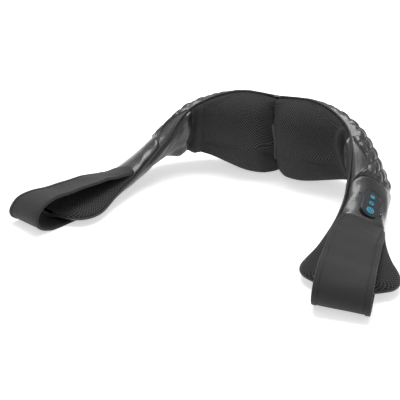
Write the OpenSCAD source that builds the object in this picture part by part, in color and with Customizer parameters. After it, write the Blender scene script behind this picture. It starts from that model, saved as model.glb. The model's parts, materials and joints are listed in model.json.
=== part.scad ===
// Shiatsu neck massager: a padded pod with two kneading heads, two flexible arms
// that end in flared paddles, a hand loop on each arm and a control pad on the right one.
// Millimetres, +Z up. The pod lies at the back (+Y) and the arms reach forward (-Y).

/* [Pod] */
// Straight half length at the middle of the pod
pod_straight = 47; // [40:1:56]
// Radius of the bend from the pod into each arm
bend_radius = 135; // [125:1:145]
// Half height of the pod at the crest of a lobe
pod_half_height = 70; // [69:0.5:73]
// Depth of a lobe in front of the seam plane
lobe_depth = 55; // [54:0.5:60]
// Depth of the valley between the two lobes
valley_depth = 34; // [30:0.5:40]
// Thickness of the pod behind the seam plane
pod_back = 20; // [19:0.5:24]
// Forward lean of the pod in degrees
pod_lean = 15; // [14:1:16]

/* [Arms] */
// Splay of the left arm away from straight forward in degrees
splay_left = 14; // [8:1:16]
// Splay of the right arm away from straight forward in degrees
splay_right = 9; // [4:1:12]
// Half width of an arm at its neck
neck_half_width = 31; // [30:0.5:35]
// Half width of a paddle at its flare
flare_half_width = 58; // [54:0.5:62]
// Half thickness of a paddle
paddle_half = 9; // [8:0.5:10]

/* [Hand loops] */
// Width of a hand loop's strap
strap_width = 68; // [60:1:72]
// Thickness of the strap
strap_thick = 3; // [2.5:0.5:4]

/* [Kneading drive] */
// Distance from the middle of the pod to each head's axis
head_offset = 56; // [56:0.5:58]
// Radius from a head's axis to its tall nodes
node_radius = 24; // [22:0.5:24]
// Teeth on a worm wheel
wheel_teeth = 36; // [36:1:36]
// Module of the worm drive
gear_module = 1; // [1:1:1]

/* [Control pad] */
// Length of the control pad's bezel
pad_len = 50; // [48:1:54]
// Width of the control pad's bezel
pad_width = 27; // [25:1:28]
// Travel of each button
button_travel = 1; // [0.6:0.1:1.2]

/* [Hidden] */
$fn = 48;

// Distances along the belt from the middle of the pod
pod_end = 150;
arm_start = 164;
flex_at = 157;
seam_at = 300;
tip_at = 450;
step = 12;
arc_steps = 8;
gap = 0.3;

// Clearance from the belt's own origin to the middle of its footprint
origin_x = 7.4;
origin_y = 169.5;

// Stations along the belt: [distance, value]
half_height = [[0, pod_half_height + 1], [60, pod_half_height], [150, 49], [200, 42],
               [265, neck_half_width], [315, neck_half_width + 4], [360, 44],
               [405, flare_half_width], [430, 53], [444, 32], [tip_at, 12]];
twist = [[0, pod_lean], [150, 24], [245, 53], [330, 78], [400, 90]];
height = [[0, 70], [150, 72], [235, 42], [300, 21], [330, 17.5], [400, 12.6], [tip_at, 12.6]];
outer_half = [[0, pod_back], [150, 24], [300, 14], [420, paddle_half], [tip_at, 7]];
inner_half = [[0, valley_depth], [22, 50], [60, lobe_depth], [100, 46], [135, 28],
              [165, 20], [300, 14], [420, paddle_half], [tip_at, 7]];

// Smooth value at distance s through a list of stations
function slope(tab, i) = i <= 0 || i >= len(tab) - 1 ? 0
    : (tab[i + 1][1] - tab[i - 1][1]) / (tab[i + 1][0] - tab[i - 1][0]);
function hermite(a, b, ma, mb, h, t) =
    a * (2 * t * t * t - 3 * t * t + 1) + h * ma * (t * t * t - 2 * t * t + t)
    + b * (3 * t * t - 2 * t * t * t) + h * mb * (t * t * t - t * t);
function along(tab, s, i = 0) =
    s >= tab[len(tab) - 1][0] ? tab[len(tab) - 1][1]
    : s > tab[i + 1][0] ? along(tab, s, i + 1)
    : let (h = tab[i + 1][0] - tab[i][0])
      hermite(tab[i][1], tab[i + 1][1], slope(tab, i), slope(tab, i + 1), h, (s - tab[i][0]) / h);

// The belt's centre line: straight, round the bend, then straight again. side is 1 or -1.
function splay(side) = side > 0 ? splay_right : splay_left;
function turn(s, side) = min(max((s - pod_straight) / bend_radius * 180 / PI, 0), 90 - splay(side));
function line_at(s, side) =
    let (a = turn(s, side),
         rest = max(s, pod_straight) - pod_straight - bend_radius * a * PI / 180)
    [min(s, pod_straight) + bend_radius * sin(a) + rest * cos(a),
     -bend_radius * (1 - cos(a)) - rest * sin(a)];

// Unit vectors of the belt's cross-section: along, up across the width, and outward
function along_dir(s, side) = let (a = turn(s, side)) [cos(a), -sin(a), 0];
function out_flat(s, side) = let (a = turn(s, side)) [sin(a), cos(a), 0];
function out_dir(s, side, tw) = cos(tw) * out_flat(s, side) + [0, 0, sin(tw)];
function up_dir(s, side, tw) = -sin(tw) * out_flat(s, side) + [0, 0, cos(tw)];
function centre_at(s, side) = let (p = line_at(s, side)) [p[0], p[1], along(height, s)];

// A point p up the width and q outward from the centre line
function belt(s, side, p, q) = let (tw = along(twist, s))
    centre_at(s, side) + p * up_dir(s, side, tw) + q * out_dir(s, side, tw);

// Rounded half section: u runs from -1 at the lower edge to 1 at the upper edge
round_power = 0.75;
function soft(v) = sign(v) * pow(abs(v), round_power);
function face(s, side, u, depth, inset) =
    belt(s, side, (along(half_height, s) - inset) * soft(sin(90 * u)),
         sign(depth) * ((abs(depth) - inset) * soft(cos(90 * u)) + gap / 2));
function outer(s, side, u, inset) = face(s, side, u, along(outer_half, s), inset);
function inner(s, side, u, inset) = face(s, side, u, -along(inner_half, s), inset);
function arc_u(n) = [for (i = [0:n]) -1 + 2 * i / n];
function back_u(n) = [for (i = [n:-1:0]) -1 + 2 * i / n];

// Rings of a shell on the outer or the inner side, and of the full oval
function outer_ring(s, side, inset, wall) = concat(
    [for (u = arc_u(arc_steps)) outer(s, side, u, inset)],
    [for (u = back_u(arc_steps)) outer(s, side, u, inset + wall)]);
function inner_ring(s, side, inset, wall) = concat(
    [for (u = back_u(arc_steps)) inner(s, side, u, inset)],
    [for (u = arc_u(arc_steps)) inner(s, side, u, inset + wall)]);
function oval_ring(s, side, inset) = concat(
    [for (u = arc_u(arc_steps)) outer(s, side, u, inset)],
    [for (i = [arc_steps - 1:-1:1]) inner(s, side, -1 + 2 * i / arc_steps, inset)]);

// Distances from a to b in even steps
function stops(a, b) = let (n = max(1, ceil((b - a) / step))) [for (i = [0:n]) a + (b - a) * i / n];

// Closed solid through a list of rings. The ends of a wall are closed as a strip between its two faces.
module skin(rings, wall = false) {
    n = len(rings[0]);
    last = len(rings) - 1;
    far = last * n;
    points = [for (r = rings) each r];
    sides = [for (i = [0:last - 1]) for (k = [0:n - 1])
        let (a = i * n + k, b = i * n + (k + 1) % n) each [[a, b, a + n], [b, b + n, a + n]]];
    caps = [[for (k = [n - 1:-1:0]) k], [for (k = [0:n - 1]) far + k]];
    strips = [for (k = [0:n / 2 - 2]) let (m = n - 1 - k) each [
        [k + 1, k, m], [k + 1, m, m - 1],
        [far + k, far + k + 1, far + m - 1], [far + k, far + m - 1, far + m]]];
    polyhedron(points, concat(sides, wall ? strips : caps), convexity = 8);
}

// A wall through a list of rings, each ring running along one face and back along the other
module wall_skin(rings) {
    skin(rings, wall = true);
}

// Puts the belt's own frame at the middle of the footprint
module placed() {
    translate([origin_x, origin_y, 0]) children();
}

// Both sides are drawn with x positive, and the left one is mirrored
module on_side(side) {
    placed() {
        if (side > 0) {
            children();
        } else {
            mirror([1, 0, 0]) children();
        }
    }
}

// Everything below the surface that the object rests on
module below_table() {
    translate([-600, -900, -100]) cube([1200, 1200, 100]);
}

// The drive's frame: X along the motor, Y outward, Z up the leaning pod
module drive_frame() {
    placed() translate([0, 0, along(height, 0)]) rotate([pod_lean, 0, 0]) children();
}

// The drive frame's point x, y, z before the belt is placed
function drive_point(x, y, z) =
    [x, y * cos(pod_lean) - z * sin(pod_lean), along(height, 0) + y * sin(pod_lean) + z * cos(pod_lean)];

// A cylinder along Y from y0 to y1
module rod_y(x, z, r, y0, y1) {
    translate([x, y0, z]) rotate([-90, 0, 0]) cylinder(r = r, h = y1 - y0);
}

// A cylinder along X from x0 to x1
module rod_x(y, z, r, x0, x1) {
    translate([x0, y, z]) rotate([0, 90, 0]) cylinder(r = r, h = x1 - x0);
}

// A box with four round corners, its thickness along Y
module rounded_box_y(w, h, r, y0, y1) {
    translate([0, y1, 0]) rotate([90, 0, 0]) linear_extrude(y1 - y0) {
        square([w - 2 * r, h], center = true);
        square([w, h - 2 * r], center = true);
        for (x = [-1, 1]) for (z = [-1, 1]) {
            translate([x * (w / 2 - r), z * (h / 2 - r)]) circle(r);
        }
    }
}

// ---- Drive dimensions ----
pitch = PI * gear_module;
wheel_pitch_r = wheel_teeth * gear_module / 2;
worm_pitch_r = 4;
motor_z = 16;
motor_y = -9;
wheel_z = motor_z - wheel_pitch_r - worm_pitch_r;
motor_r = 12.2;
motor_half = 19;
shaft_r = 1.6;
output_r = 4;
run_gap = 0.05;
tooth_top = 0.8 * gear_module;
tooth_root = 1.05 * gear_module;
tooth_half = pitch / 4 - 0.09;
lead_angle = atan(pitch / (2 * PI * worm_pitch_r));
wheel_face = 5;
house_w = 172;
house_h = 68;
house_r = 12;
house_wall = 2.2;
house_back = 6;
house_split = -9;
house_front = -24;
screw_x = 78;
screw_z = 26;
claw_back = -26.6;
claw_front = -31.5;
node_y = -38;
tall_r = 10;
short_r = 8;
short_radius = node_radius - 1;
jack_x = -36;
jack_z = -24;
jack_r = 6.2;
bearing_x = 71;

// ---- Pod: soft skins ----
module back_cover() {
    color([0.13, 0.13, 0.14]) difference() {
        placed() wall_skin([for (s = stops(-pod_end, pod_end))
            [for (p = outer_ring(abs(s), sign(s), 0, 3)) [s < 0 ? -p[0] : p[0], p[1], p[2]]]]);
        drive_frame() rod_y(jack_x, jack_z, jack_r + gap, 0, 40);
    }
}

module back_foam() {
    color([0.55, 0.55, 0.5]) difference() {
        placed() skin([for (s = stops(-100, 100))
            [for (u = [for (i = [0:8]) -0.76 + 1.52 * i / 8]) let (p = outer(abs(s), sign(s), u, 4))
                [s < 0 ? -p[0] : p[0], p[1], p[2]]]]);
        drive_frame() {
            rounded_box_y(house_w + 1, house_h + 1, house_r, -40, house_back + gap);
            rod_y(jack_x, jack_z, jack_r + gap, 0, 40);
        }
    }
}

module mesh_cover(side) {
    color([0.24, 0.24, 0.25]) difference() {
        on_side(side) wall_skin([for (s = concat([1.3, 6], stops(14, 140))) inner_ring(s, side, 0, 2.5)]);
        below_table();
    }
}

// The padded panel that closes a lobe at its outer end
function plug_ring(s, side) = concat(
    [for (u = arc_u(arc_steps)) outer(s, side, u, 3.3)],
    [for (u = back_u(arc_steps)) inner(s, side, u, 0)]);

module end_gusset(side) {
    color([0.16, 0.16, 0.17]) on_side(side) difference() {
        skin([for (s = stops(140.3, pod_end)) plug_ring(s, side)]);
        if (side > 0) piping(pod_route, harness_r + 0.3);
    }
}

module centre_seam() {
    color([0.12, 0.12, 0.13])
        placed() wall_skin([for (x = [-1, 1]) [for (p = inner_ring(0, 1, 0, 3.5)) [x, p[1], p[2]]]]);
}

// A round cord swept along points, with eight sides
module piping(points, r) {
    n = len(points);
    dirs = [for (i = [0:n - 1]) let (d = points[min(i + 1, n - 1)] - points[max(i - 1, 0)]) d / norm(d)];
    skin([for (i = [0:n - 1])
        let (side_dir = cross(dirs[i], [0.3, 0.2, 0.93]), v = side_dir / norm(side_dir), w = cross(dirs[i], v))
        [for (k = [0:7]) points[i] + r * (cos(45 * k) * v + sin(45 * k) * w)]]);
}

piping_r = 1.6;
function edge_slope(s) = along(half_height, s + 0.5) - along(half_height, s - 0.5);
function edge_point(s, side, up) =
    belt(s, side, up * (along(half_height, s) + (piping_r + 0.15) * norm([1, edge_slope(s)])), 0);

module pod_piping(side) {
    color([0.32, 0.32, 0.33]) on_side(side)
        piping([for (s = stops(24, pod_end - 1)) edge_point(s, side, 1)], piping_r);
}

flex_r = 6.4;
flex_half = 18;
module flex_core(side) {
    color([0.4, 0.4, 0.38]) on_side(side) difference() {
        translate(centre_at(flex_at, side) - [0, 0, flex_half]) cylinder(r = flex_r, h = 2 * flex_half);
        translate(centre_at(flex_at, side)) rotate([0, 90, -turn(flex_at, side)])
            cylinder(r = 2.6, h = 40, center = true);
    }
}

// ---- Pod: drive and electronics ----
module housing_shell(y0, y1, open_y0, open_y1) {
    difference() {
        rounded_box_y(house_w, house_h, house_r, y0, y1);
        rounded_box_y(house_w - 2 * house_wall, house_h - 2 * house_wall, house_r - house_wall, open_y0, open_y1);
    }
}

module screw_posts(y0, y1, r_hole) {
    for (x = [-screw_x, screw_x]) for (z = [-screw_z, screw_z]) difference() {
        rod_y(x, z, 4, y0, y1);
        rod_y(x, z, r_hole, y0 - 1, y1 + 1);
    }
}

module screw_holes(y0, y1, r) {
    for (x = [-screw_x, screw_x]) for (z = [-screw_z, screw_z]) rod_y(x, z, r, y0, y1);
}

module rear_housing() {
    color([0.2, 0.2, 0.22]) drive_frame() {
        difference() {
            union() {
                housing_shell(house_split, house_back, house_split - 1, house_back - house_wall);
                screw_posts(house_split, house_back - 1, 1.5);
                for (side = [-1, 1]) rod_y(side * head_offset, wheel_z, 7, -3.5, house_back - 1);
            }
            for (side = [-1, 1]) rod_y(side * head_offset, wheel_z, output_r + run_gap, -5, 2.2);
            rod_y(jack_x, jack_z, jack_r + 0.1, 0, 20);
            rod_x(exit_y, exit_z, harness_r + gap, house_w / 2 - 6, house_w / 2 + 2);
        }
    }
}

module front_housing() {
    color([0.2, 0.2, 0.22]) drive_frame() {
        difference() {
            union() {
                housing_shell(house_front, house_split - 0.05, house_front + house_wall, house_split + 1);
                screw_posts(house_front + 1, house_split - 0.05, 1.7);
                for (side = [-1, 1]) rod_y(side * head_offset, wheel_z, 9, house_front + 1, -13);
            }
            screw_holes(house_front - 1, house_front + 3, 1.7);
            for (side = [-1, 1]) rod_y(side * head_offset, wheel_z, 7, house_front - 1, -10);
        }
    }
}

module housing_screws() {
    color([0.7, 0.7, 0.72]) drive_frame() {
        for (x = [-screw_x, screw_x]) for (z = [-screw_z, screw_z]) {
            rod_y(x, z, 3, house_front - 2, house_front);
            rod_y(x, z, 1.5, house_front - 0.1, 3);
        }
    }
}

module motor_can() {
    color([0.75, 0.75, 0.76]) drive_frame() difference() {
        rod_x(motor_y, motor_z, motor_r, -motor_half + 3, motor_half);
        rod_x(motor_y, motor_z, shaft_r + run_gap, -motor_half, motor_half + 1);
        rod_x(motor_y, motor_z, motor_r - 1, -motor_half + 2, motor_half - 1.2);
    }
}

module motor_endcap() {
    color([0.15, 0.15, 0.16]) drive_frame() difference() {
        rod_x(motor_y, motor_z, motor_r, -motor_half, -motor_half + 2.95);
        rod_x(motor_y, motor_z, shaft_r + run_gap, -motor_half - 1, motor_half);
    }
}

module motor_bracket() {
    color([0.6, 0.6, 0.62]) drive_frame() difference() {
        translate([-8, motor_y - motor_r - 0.5, motor_z - motor_r - 4]) cube([16, 2 * motor_r + 1, 9]);
        rod_x(motor_y, motor_z, motor_r + 0.05, -30, 30);
    }
}

module output_bushes() {
    color([0.72, 0.6, 0.38]) drive_frame() for (side = [-1, 1]) difference() {
        union() {
            rod_y(side * head_offset, wheel_z, 6.98, house_front, -12.6);
            rod_y(side * head_offset, wheel_z, 7.4, house_front - 1, house_front);
        }
        rod_y(side * head_offset, wheel_z, output_r + run_gap, house_front - 2, -10);
    }
}

module shaft_bearings() {
    color([0.72, 0.6, 0.38]) drive_frame() for (side = [-1, 1]) difference() {
        union() {
            rod_x(motor_y, motor_z, 3.5, side * bearing_x - 1.5, side * bearing_x + 1.5);
            translate([side * bearing_x - 1.5, motor_y, motor_z - 3.4]) cube([3, house_back - house_wall - motor_y, 6.8]);
        }
        rod_x(motor_y, motor_z, shaft_r + run_gap, side * bearing_x - 3, side * bearing_x + 3);
    }
}

module main_pcb() {
    color([0.1, 0.35, 0.2]) drive_frame() {
        translate([-22, -0.8, -31]) cube([44, 1.6, 26]);
        for (x = [-16, -8, 4, 12]) translate([x, -3, -26]) cube([5, 2.2, 7]);
        rod_y(-12, -11, 3, -8, -0.8);
    }
}

module heater_ring(side) {
    color([0.85, 0.5, 0.2]) drive_frame() difference() {
        rod_y(side * head_offset, wheel_z, 20, house_front - 1.2, house_front - 0.05);
        rod_y(side * head_offset, wheel_z, 8.5, house_front - 3, house_front + 1);
    }
}

module dc_jack() {
    color([0.08, 0.08, 0.09]) drive_frame() {
        difference() {
            union() {
                rod_y(jack_x, jack_z, jack_r, -4, 18.5);
                rod_y(jack_x, jack_z, jack_r - 0.2, 18.4, pod_back + 0.5);
            }
            rod_y(jack_x, jack_z, 2.8, 8, pod_back + 3);
        }
        rod_y(jack_x, jack_z, 1, 7, 17);
    }
}

// The supply lead from the board to the flex of the right arm
harness_r = 1.5;
exit_y = -6;
exit_z = -8;
pod_route = [drive_point(20, -5.5, -13), drive_point(44, -3, -19), drive_point(66, -3, -19),
             drive_point(74, -4, -10), drive_point(80, exit_y, exit_z), drive_point(92, exit_y, exit_z),
             belt(136, 1, 0, 0), centre_at(pod_end + 0.5, 1), centre_at(flex_at - 0.5, 1)];
module pod_harness() {
    color([0.1, 0.1, 0.1]) on_side(1) piping(pod_route, harness_r);
}

module motor_shaft() {
    color([0.8, 0.8, 0.82]) drive_frame() rod_x(motor_y, motor_z, shaft_r, -bearing_x - 2, bearing_x + 2);
}

// One worm: a core with a swept thread, its thread centred on the wheel at the lowest point
worm_turns = 4;
thread_steps = 16;
function thread_ring(a) =
    let (x = pitch * a / 360, r_root = worm_pitch_r - 1.3, r_tip = worm_pitch_r + tooth_top,
         w_root = tooth_half + 0.5, w_tip = tooth_half - 0.3)
    [for (c = [[-w_tip, r_tip], [w_tip, r_tip], [w_root, r_root], [-w_root, r_root]])
        [x + c[0], c[1] * sin(a), -c[1] * cos(a)]];

module worm(side) {
    color([0.75, 0.72, 0.6]) drive_frame() mirror([side > 0 ? 0 : 1, 0, 0])
    translate([head_offset, motor_y, motor_z]) {
        difference() {
            union() {
                rod_x(0, 0, worm_pitch_r - 1.15, -9, 9);
                skin([for (i = [0:worm_turns * thread_steps])
                    thread_ring((i / thread_steps - worm_turns / 2) * 360)]);
            }
            rod_x(0, 0, shaft_r, -10, 10);
        }
    }
}

module worm_wheel(side) {
    color([0.9, 0.88, 0.8]) drive_frame() mirror([side > 0 ? 0 : 1, 0, 0])
    translate([head_offset, motor_y, wheel_z]) {
        difference() {
            union() {
                rod_y(0, 0, wheel_pitch_r - tooth_root, -wheel_face / 2, wheel_face / 2);
                for (i = [0:wheel_teeth - 1]) rotate([0, (i + 0.5) * 360 / wheel_teeth, 0])
                    translate([0, 0, wheel_pitch_r]) rotate([0, 0, -lead_angle]) rotate([90, 0, 0])
                    linear_extrude(wheel_face - 0.2, center = true) polygon([
                        [-tooth_half - 0.45, -tooth_root - 0.6], [tooth_half + 0.45, -tooth_root - 0.6],
                        [tooth_half - 0.3, tooth_top], [-tooth_half + 0.3, tooth_top]]);
            }
            rod_y(0, 0, output_r, -wheel_face, wheel_face);
        }
    }
}

module output_shaft(side) {
    color([0.8, 0.8, 0.82]) drive_frame()
        rod_y(side * head_offset, wheel_z, output_r, claw_front, 2);
}

module claw(side) {
    color([0.25, 0.25, 0.27]) drive_frame() translate([side * head_offset, 0, wheel_z]) difference() {
        union() {
            rod_y(0, 0, 8, claw_front, claw_back);
            for (a = [0, 90]) rotate([0, a + 20, 0]) rounded_box_y(2 * node_radius + 10, 10, 4.9, claw_front, claw_back - 0.6);
        }
        rod_y(0, 0, output_r, claw_front - 1, claw_back + 1);
    }
}

// Two rubber nodes opposite each other on the claw, each a ball on a stem
module nodes(side, radius, ball_r, first) {
    stem = claw_front - node_y;
    drive_frame() translate([side * head_offset, 0, wheel_z])
        for (a = [first, first + 180]) rotate([0, a + 20, 0]) translate([radius, node_y, 0])
            rotate([-90, 0, 0]) rotate_extrude() {
                intersection() {
                    circle(ball_r);
                    translate([0, -ball_r]) square([ball_r, ball_r + stem]);
                }
                square([ball_r * 0.8, stem]);
            }
}

module tall_nodes(side) {
    color([0.35, 0.3, 0.3]) nodes(side, node_radius, tall_r, 0);
}

module short_nodes(side) {
    color([0.35, 0.3, 0.3]) nodes(side, short_radius, short_r, 90);
}

// ---- Arms ----
skin_wall = 2.2;
module arm_cover(side) {
    color([0.14, 0.14, 0.15]) difference() {
        on_side(side) wall_skin([for (s = stops(arm_start, seam_at)) outer_ring(s, side, 0, skin_wall)]);
        if (side > 0) {
            pad_frame() pad_outline(pad_len + 2 * gap, pad_width + 2 * gap, -12, 12);
            pad_frame() rivet_holes();
        }
    }
}

module paddle_mesh(side) {
    color([0.24, 0.24, 0.25]) on_side(side)
        wall_skin([for (s = stops(seam_at + gap, tip_at)) outer_ring(s, side, 0, skin_wall)]);
}

module arm_lining(side) {
    color([0.15, 0.15, 0.16]) on_side(side)
        wall_skin([for (s = stops(arm_start, tip_at)) inner_ring(s, side, 0, skin_wall)]);
}

module arm_core(side) {
    color([0.55, 0.55, 0.5]) difference() {
        on_side(side) skin([for (s = stops(arm_start, tip_at - 12)) oval_ring(s, side, skin_wall + 1)]);
        if (side > 0) {
            pad_frame() pad_outline(pad_len + 2 * gap, pad_width + 2 * gap, -house_deep - gap, 12);
            pad_frame() rivet_holes();
            on_side(side) piping(arm_route(arm_start - 4), harness_r + 0.2);
        }
    }
}

module arm_piping(side) {
    color([0.3, 0.3, 0.31]) on_side(side) {
        sweep = concat(stops(arm_start, 420), [424, 428, 431, 434, 437, 440, 443, tip_at - 4]);
        count = len(sweep) - 1;
        piping(concat([for (s = sweep) edge_point(s, side, 1)],
                      [for (u = [0.66, 0.33, 0, -0.33, -0.66]) belt(tip_at + 2.4 + 3 * (1 - abs(u)), side, u * 14, 0)],
                      [for (i = [count:-1:0]) edge_point(sweep[i], side, -1)]), piping_r);
    }
}

// The strap's run in the upright plane of the arm: [distance, height above the table, tilt]
strap_run = [[303, 38.6, 71], [318, 38, 73], [345, 37.5, 76], [380, 39, 78], [420, 41, 79], [453, 43, 80],
             [476, 40, 82], [488, 31, 83], [492, 20, 85], [487, 10, 87], [474, 4.5, 89],
             [457, 1.9, 90], [433, 1.6, 90], [417, 1.6, 90]];

function run_column(c) = [for (i = [0:len(strap_run) - 1]) [i, strap_run[i][c]]];
run_t = [for (k = [0:3 * (len(strap_run) - 1)]) k / 3];

module hand_loop(side) {
    color([0.2, 0.2, 0.21]) on_side(side) {
        n = len(run_t);
        reach = [for (t = run_t) along(run_column(0), t)];
        spots = [for (i = [0:n - 1]) let (p = line_at(reach[i], side)) [p[0], p[1], along(run_column(1), run_t[i])]];
        skin([for (i = [0:n - 1])
            let (d = spots[min(i + 1, n - 1)] - spots[max(i - 1, 0)],
                 w = up_dir(reach[i], side, along(run_column(2), run_t[i])),
                 t = cross(d, w) / norm(cross(d, w)))
            [for (c = [[1, 1], [-1, 1], [-1, -1], [1, -1]])
                spots[i] + w * c[0] * strap_width / 2 + t * c[1] * strap_thick / 2]]);
    }
}

// ---- Control pad ----
pad_at = 269;
house_deep = 9;
pad_rise = 1.8;
// The pad's own axes: down the slope of the arm, across it, and outward
pad_slope = (along(height, pad_at + 6) - along(height, pad_at - 6)) / 12;
pad_down = let (v = along_dir(pad_at, 1) + [0, 0, pad_slope]) v / norm(v);
pad_across = let (b = up_dir(pad_at, 1, along(twist, pad_at)), v = b - (b * pad_down) * pad_down) v / norm(v);
pad_out = cross(pad_across, pad_down);
pad_centre = belt(pad_at, 1, 0, along(outer_half, pad_at));
function pad_point(x, y, z) = pad_centre + x * pad_down + y * pad_across + z * pad_out;
module pad_frame() {
    a = pad_down;
    b = pad_across;
    c = pad_out;
    o = pad_centre;
    placed() multmatrix([[a[0], b[0], c[0], o[0]], [a[1], b[1], c[1], o[1]], [a[2], b[2], c[2], o[2]]])
        children();
}

// A pill from z0 to z1, its length along X
module pad_outline(len, width, z0, z1) {
    translate([0, 0, z0]) linear_extrude(z1 - z0) {
        square([len - width, width], center = true);
        for (x = [-1, 1]) translate([x * (len - width) / 2, 0]) circle(width / 2);
    }
}

button_x = [14, 0, -13];
button_r = [6, 4.6, 4.6];
key_low = -2.5;
bezel_low = -1.2;
module control_housing() {
    color([0.12, 0.12, 0.13]) pad_frame() difference() {
        pad_outline(pad_len - 0.4, pad_width - 0.4, -house_deep, bezel_low - 0.05);
        pad_outline(pad_len - 4, pad_width - 4, -house_deep + 1.5, 5);
        translate([-pad_len / 2 - 1, 0, -house_deep + 4]) rotate([0, 90, 0]) cylinder(r = harness_r + 0.1, h = 6);
    }
}

module control_pcb() {
    color([0.1, 0.35, 0.2]) pad_frame() {
        pad_outline(pad_len - 5, pad_width - 5, -6.5, -5);
        for (x = button_x) translate([x, 0, -5.05]) cylinder(r = 2.5, h = 5.05 + key_low - button_travel - 0.1);
    }
}

module control_bezel() {
    color([0.05, 0.05, 0.06]) pad_frame() difference() {
        union() {
            pad_outline(pad_len, pad_width, bezel_low, pad_rise - 0.6);
            pad_outline(pad_len - 1.6, pad_width - 1.6, pad_rise - 0.7, pad_rise);
        }
        for (i = [0:2]) translate([button_x[i], 0, bezel_low - 1]) cylinder(r = button_r[i] + 0.25, h = 8);
    }
}

rivet_spots = [[-12, 18], [11, -18]];
module rivet_holes() {
    for (p = rivet_spots) translate([p[0], p[1], -14]) cylinder(r = 1.3, h = 30);
}

module control_rivets() {
    color([0.3, 0.3, 0.31]) pad_frame() for (p = rivet_spots) {
        translate([p[0], p[1], -12]) cylinder(r = 1.2, h = 12.7);
        difference() {
            translate([p[0], p[1], -0.6]) sphere(3);
            translate([p[0] - 5, p[1] - 5, -9.4]) cube([10, 10, 10]);
        }
    }
}

function arm_route(from) = concat(
    [for (s = stops(from, 218)) belt(s, 1, 0, 0)],
    [pad_point(-pad_len / 2 - 8, 0, -house_deep + 4), pad_point(-pad_len / 2 + 2.4, 0, -house_deep + 4)]);

module arm_harness() {
    color([0.1, 0.1, 0.1]) on_side(1) piping(arm_route(arm_start + 3), harness_r);
}

module button(i) {
    color([0.1, 0.4, 0.5]) pad_frame() translate([button_x[i], 0, 0]) {
        translate([0, 0, bezel_low]) cylinder(r = button_r[i], h = pad_rise + 0.6 - bezel_low);
        translate([0, 0, key_low]) cylinder(r = 2, h = 2);
    }
}

module power_button() { button(0); }
module direction_button() { button(1); }
module heat_button() { button(2); }

back_cover();
back_foam();
rear_housing();
front_housing();
housing_screws();
motor_can();
motor_endcap();
motor_bracket();
output_bushes();
shaft_bearings();
main_pcb();
heater_ring(-1);  // heater_ring_left
heater_ring(1);  // heater_ring_right
dc_jack();
mesh_cover(-1);  // mesh_cover_left
mesh_cover(1);  // mesh_cover_right
end_gusset(-1);  // end_gusset_left
end_gusset(1);  // end_gusset_right
centre_seam();
pod_piping(-1);  // pod_piping_left
pod_piping(1);  // pod_piping_right
flex_core(-1);  // flex_core_left
flex_core(1);  // flex_core_right
pod_harness();
motor_shaft();
worm(-1);  // worm_left
worm(1);  // worm_right
worm_wheel(-1);  // worm_wheel_left
output_shaft(-1);  // output_shaft_left
claw(-1);  // claw_left
tall_nodes(-1);  // tall_nodes_left
short_nodes(-1);  // short_nodes_left
worm_wheel(1);  // worm_wheel_right
output_shaft(1);  // output_shaft_right
claw(1);  // claw_right
tall_nodes(1);  // tall_nodes_right
short_nodes(1);  // short_nodes_right
arm_cover(-1);  // arm_cover_left
arm_lining(-1);  // arm_lining_left
arm_core(-1);  // arm_core_left
paddle_mesh(-1);  // paddle_mesh_left
arm_piping(-1);  // arm_piping_left
hand_loop(-1);  // hand_loop_left
arm_cover(1);  // arm_cover_right
arm_lining(1);  // arm_lining_right
arm_core(1);  // arm_core_right
paddle_mesh(1);  // paddle_mesh_right
arm_piping(1);  // arm_piping_right
hand_loop(1);  // hand_loop_right
control_housing();
control_pcb();
control_bezel();
control_rivets();
arm_harness();
power_button();
direction_button();
heat_button();
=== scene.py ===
"""Looks of the shiatsu neck massager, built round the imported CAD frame."""
import json
import math

import bmesh
import bpy
import numpy as np
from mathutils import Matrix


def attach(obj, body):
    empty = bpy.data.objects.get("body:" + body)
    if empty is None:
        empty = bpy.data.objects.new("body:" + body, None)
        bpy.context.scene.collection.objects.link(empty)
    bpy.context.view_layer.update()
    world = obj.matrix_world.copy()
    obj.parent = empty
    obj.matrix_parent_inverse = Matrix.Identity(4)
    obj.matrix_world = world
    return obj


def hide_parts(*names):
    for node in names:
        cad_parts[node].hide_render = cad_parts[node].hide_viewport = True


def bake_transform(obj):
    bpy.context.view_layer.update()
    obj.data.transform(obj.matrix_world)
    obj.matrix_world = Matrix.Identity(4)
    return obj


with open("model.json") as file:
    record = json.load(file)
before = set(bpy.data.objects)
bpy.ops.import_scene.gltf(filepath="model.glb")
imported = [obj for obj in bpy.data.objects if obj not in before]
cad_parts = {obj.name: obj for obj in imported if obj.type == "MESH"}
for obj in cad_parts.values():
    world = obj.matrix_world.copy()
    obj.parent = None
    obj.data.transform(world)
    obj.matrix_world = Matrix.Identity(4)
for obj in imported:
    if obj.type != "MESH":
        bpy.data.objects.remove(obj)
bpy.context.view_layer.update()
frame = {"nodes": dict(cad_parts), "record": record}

MM = 0.001

# ---------------------------------------------------------------- the belt's shape
# The same stations as in the CAD model, in millimetres: [distance along the belt, value]
POD_STRAIGHT, BEND_RADIUS = 47, 135
SPLAY = {1: 9, -1: 14}
SIDE_NAME = {1: "right", -1: "left"}
ORIGIN = np.array([7.4, 169.5, 0.0])
HALF_HEIGHT = [[0, 71], [60, 70], [150, 49], [200, 42], [265, 31], [315, 35], [360, 44],
               [405, 58], [430, 53], [444, 32], [450, 12]]
TWIST = [[0, 15], [150, 24], [245, 53], [330, 78], [400, 90]]
HEIGHT = [[0, 70], [150, 72], [235, 42], [300, 21], [330, 17.5], [400, 12.6], [450, 12.6]]
OUTER_HALF = [[0, 20], [150, 24], [300, 14], [420, 9], [450, 7]]
INNER_HALF = [[0, 34], [22, 50], [60, 55], [100, 46], [135, 28], [165, 20], [300, 14],
              [420, 9], [450, 7]]
ROUND_POWER = 0.75
MESH_END, LINING_START, TIP = 140, 166, 450
BEND_START, BEND_END = 148.0, 168.0
PAD_AT, PAD_RISE = 269, 1.8
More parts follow.
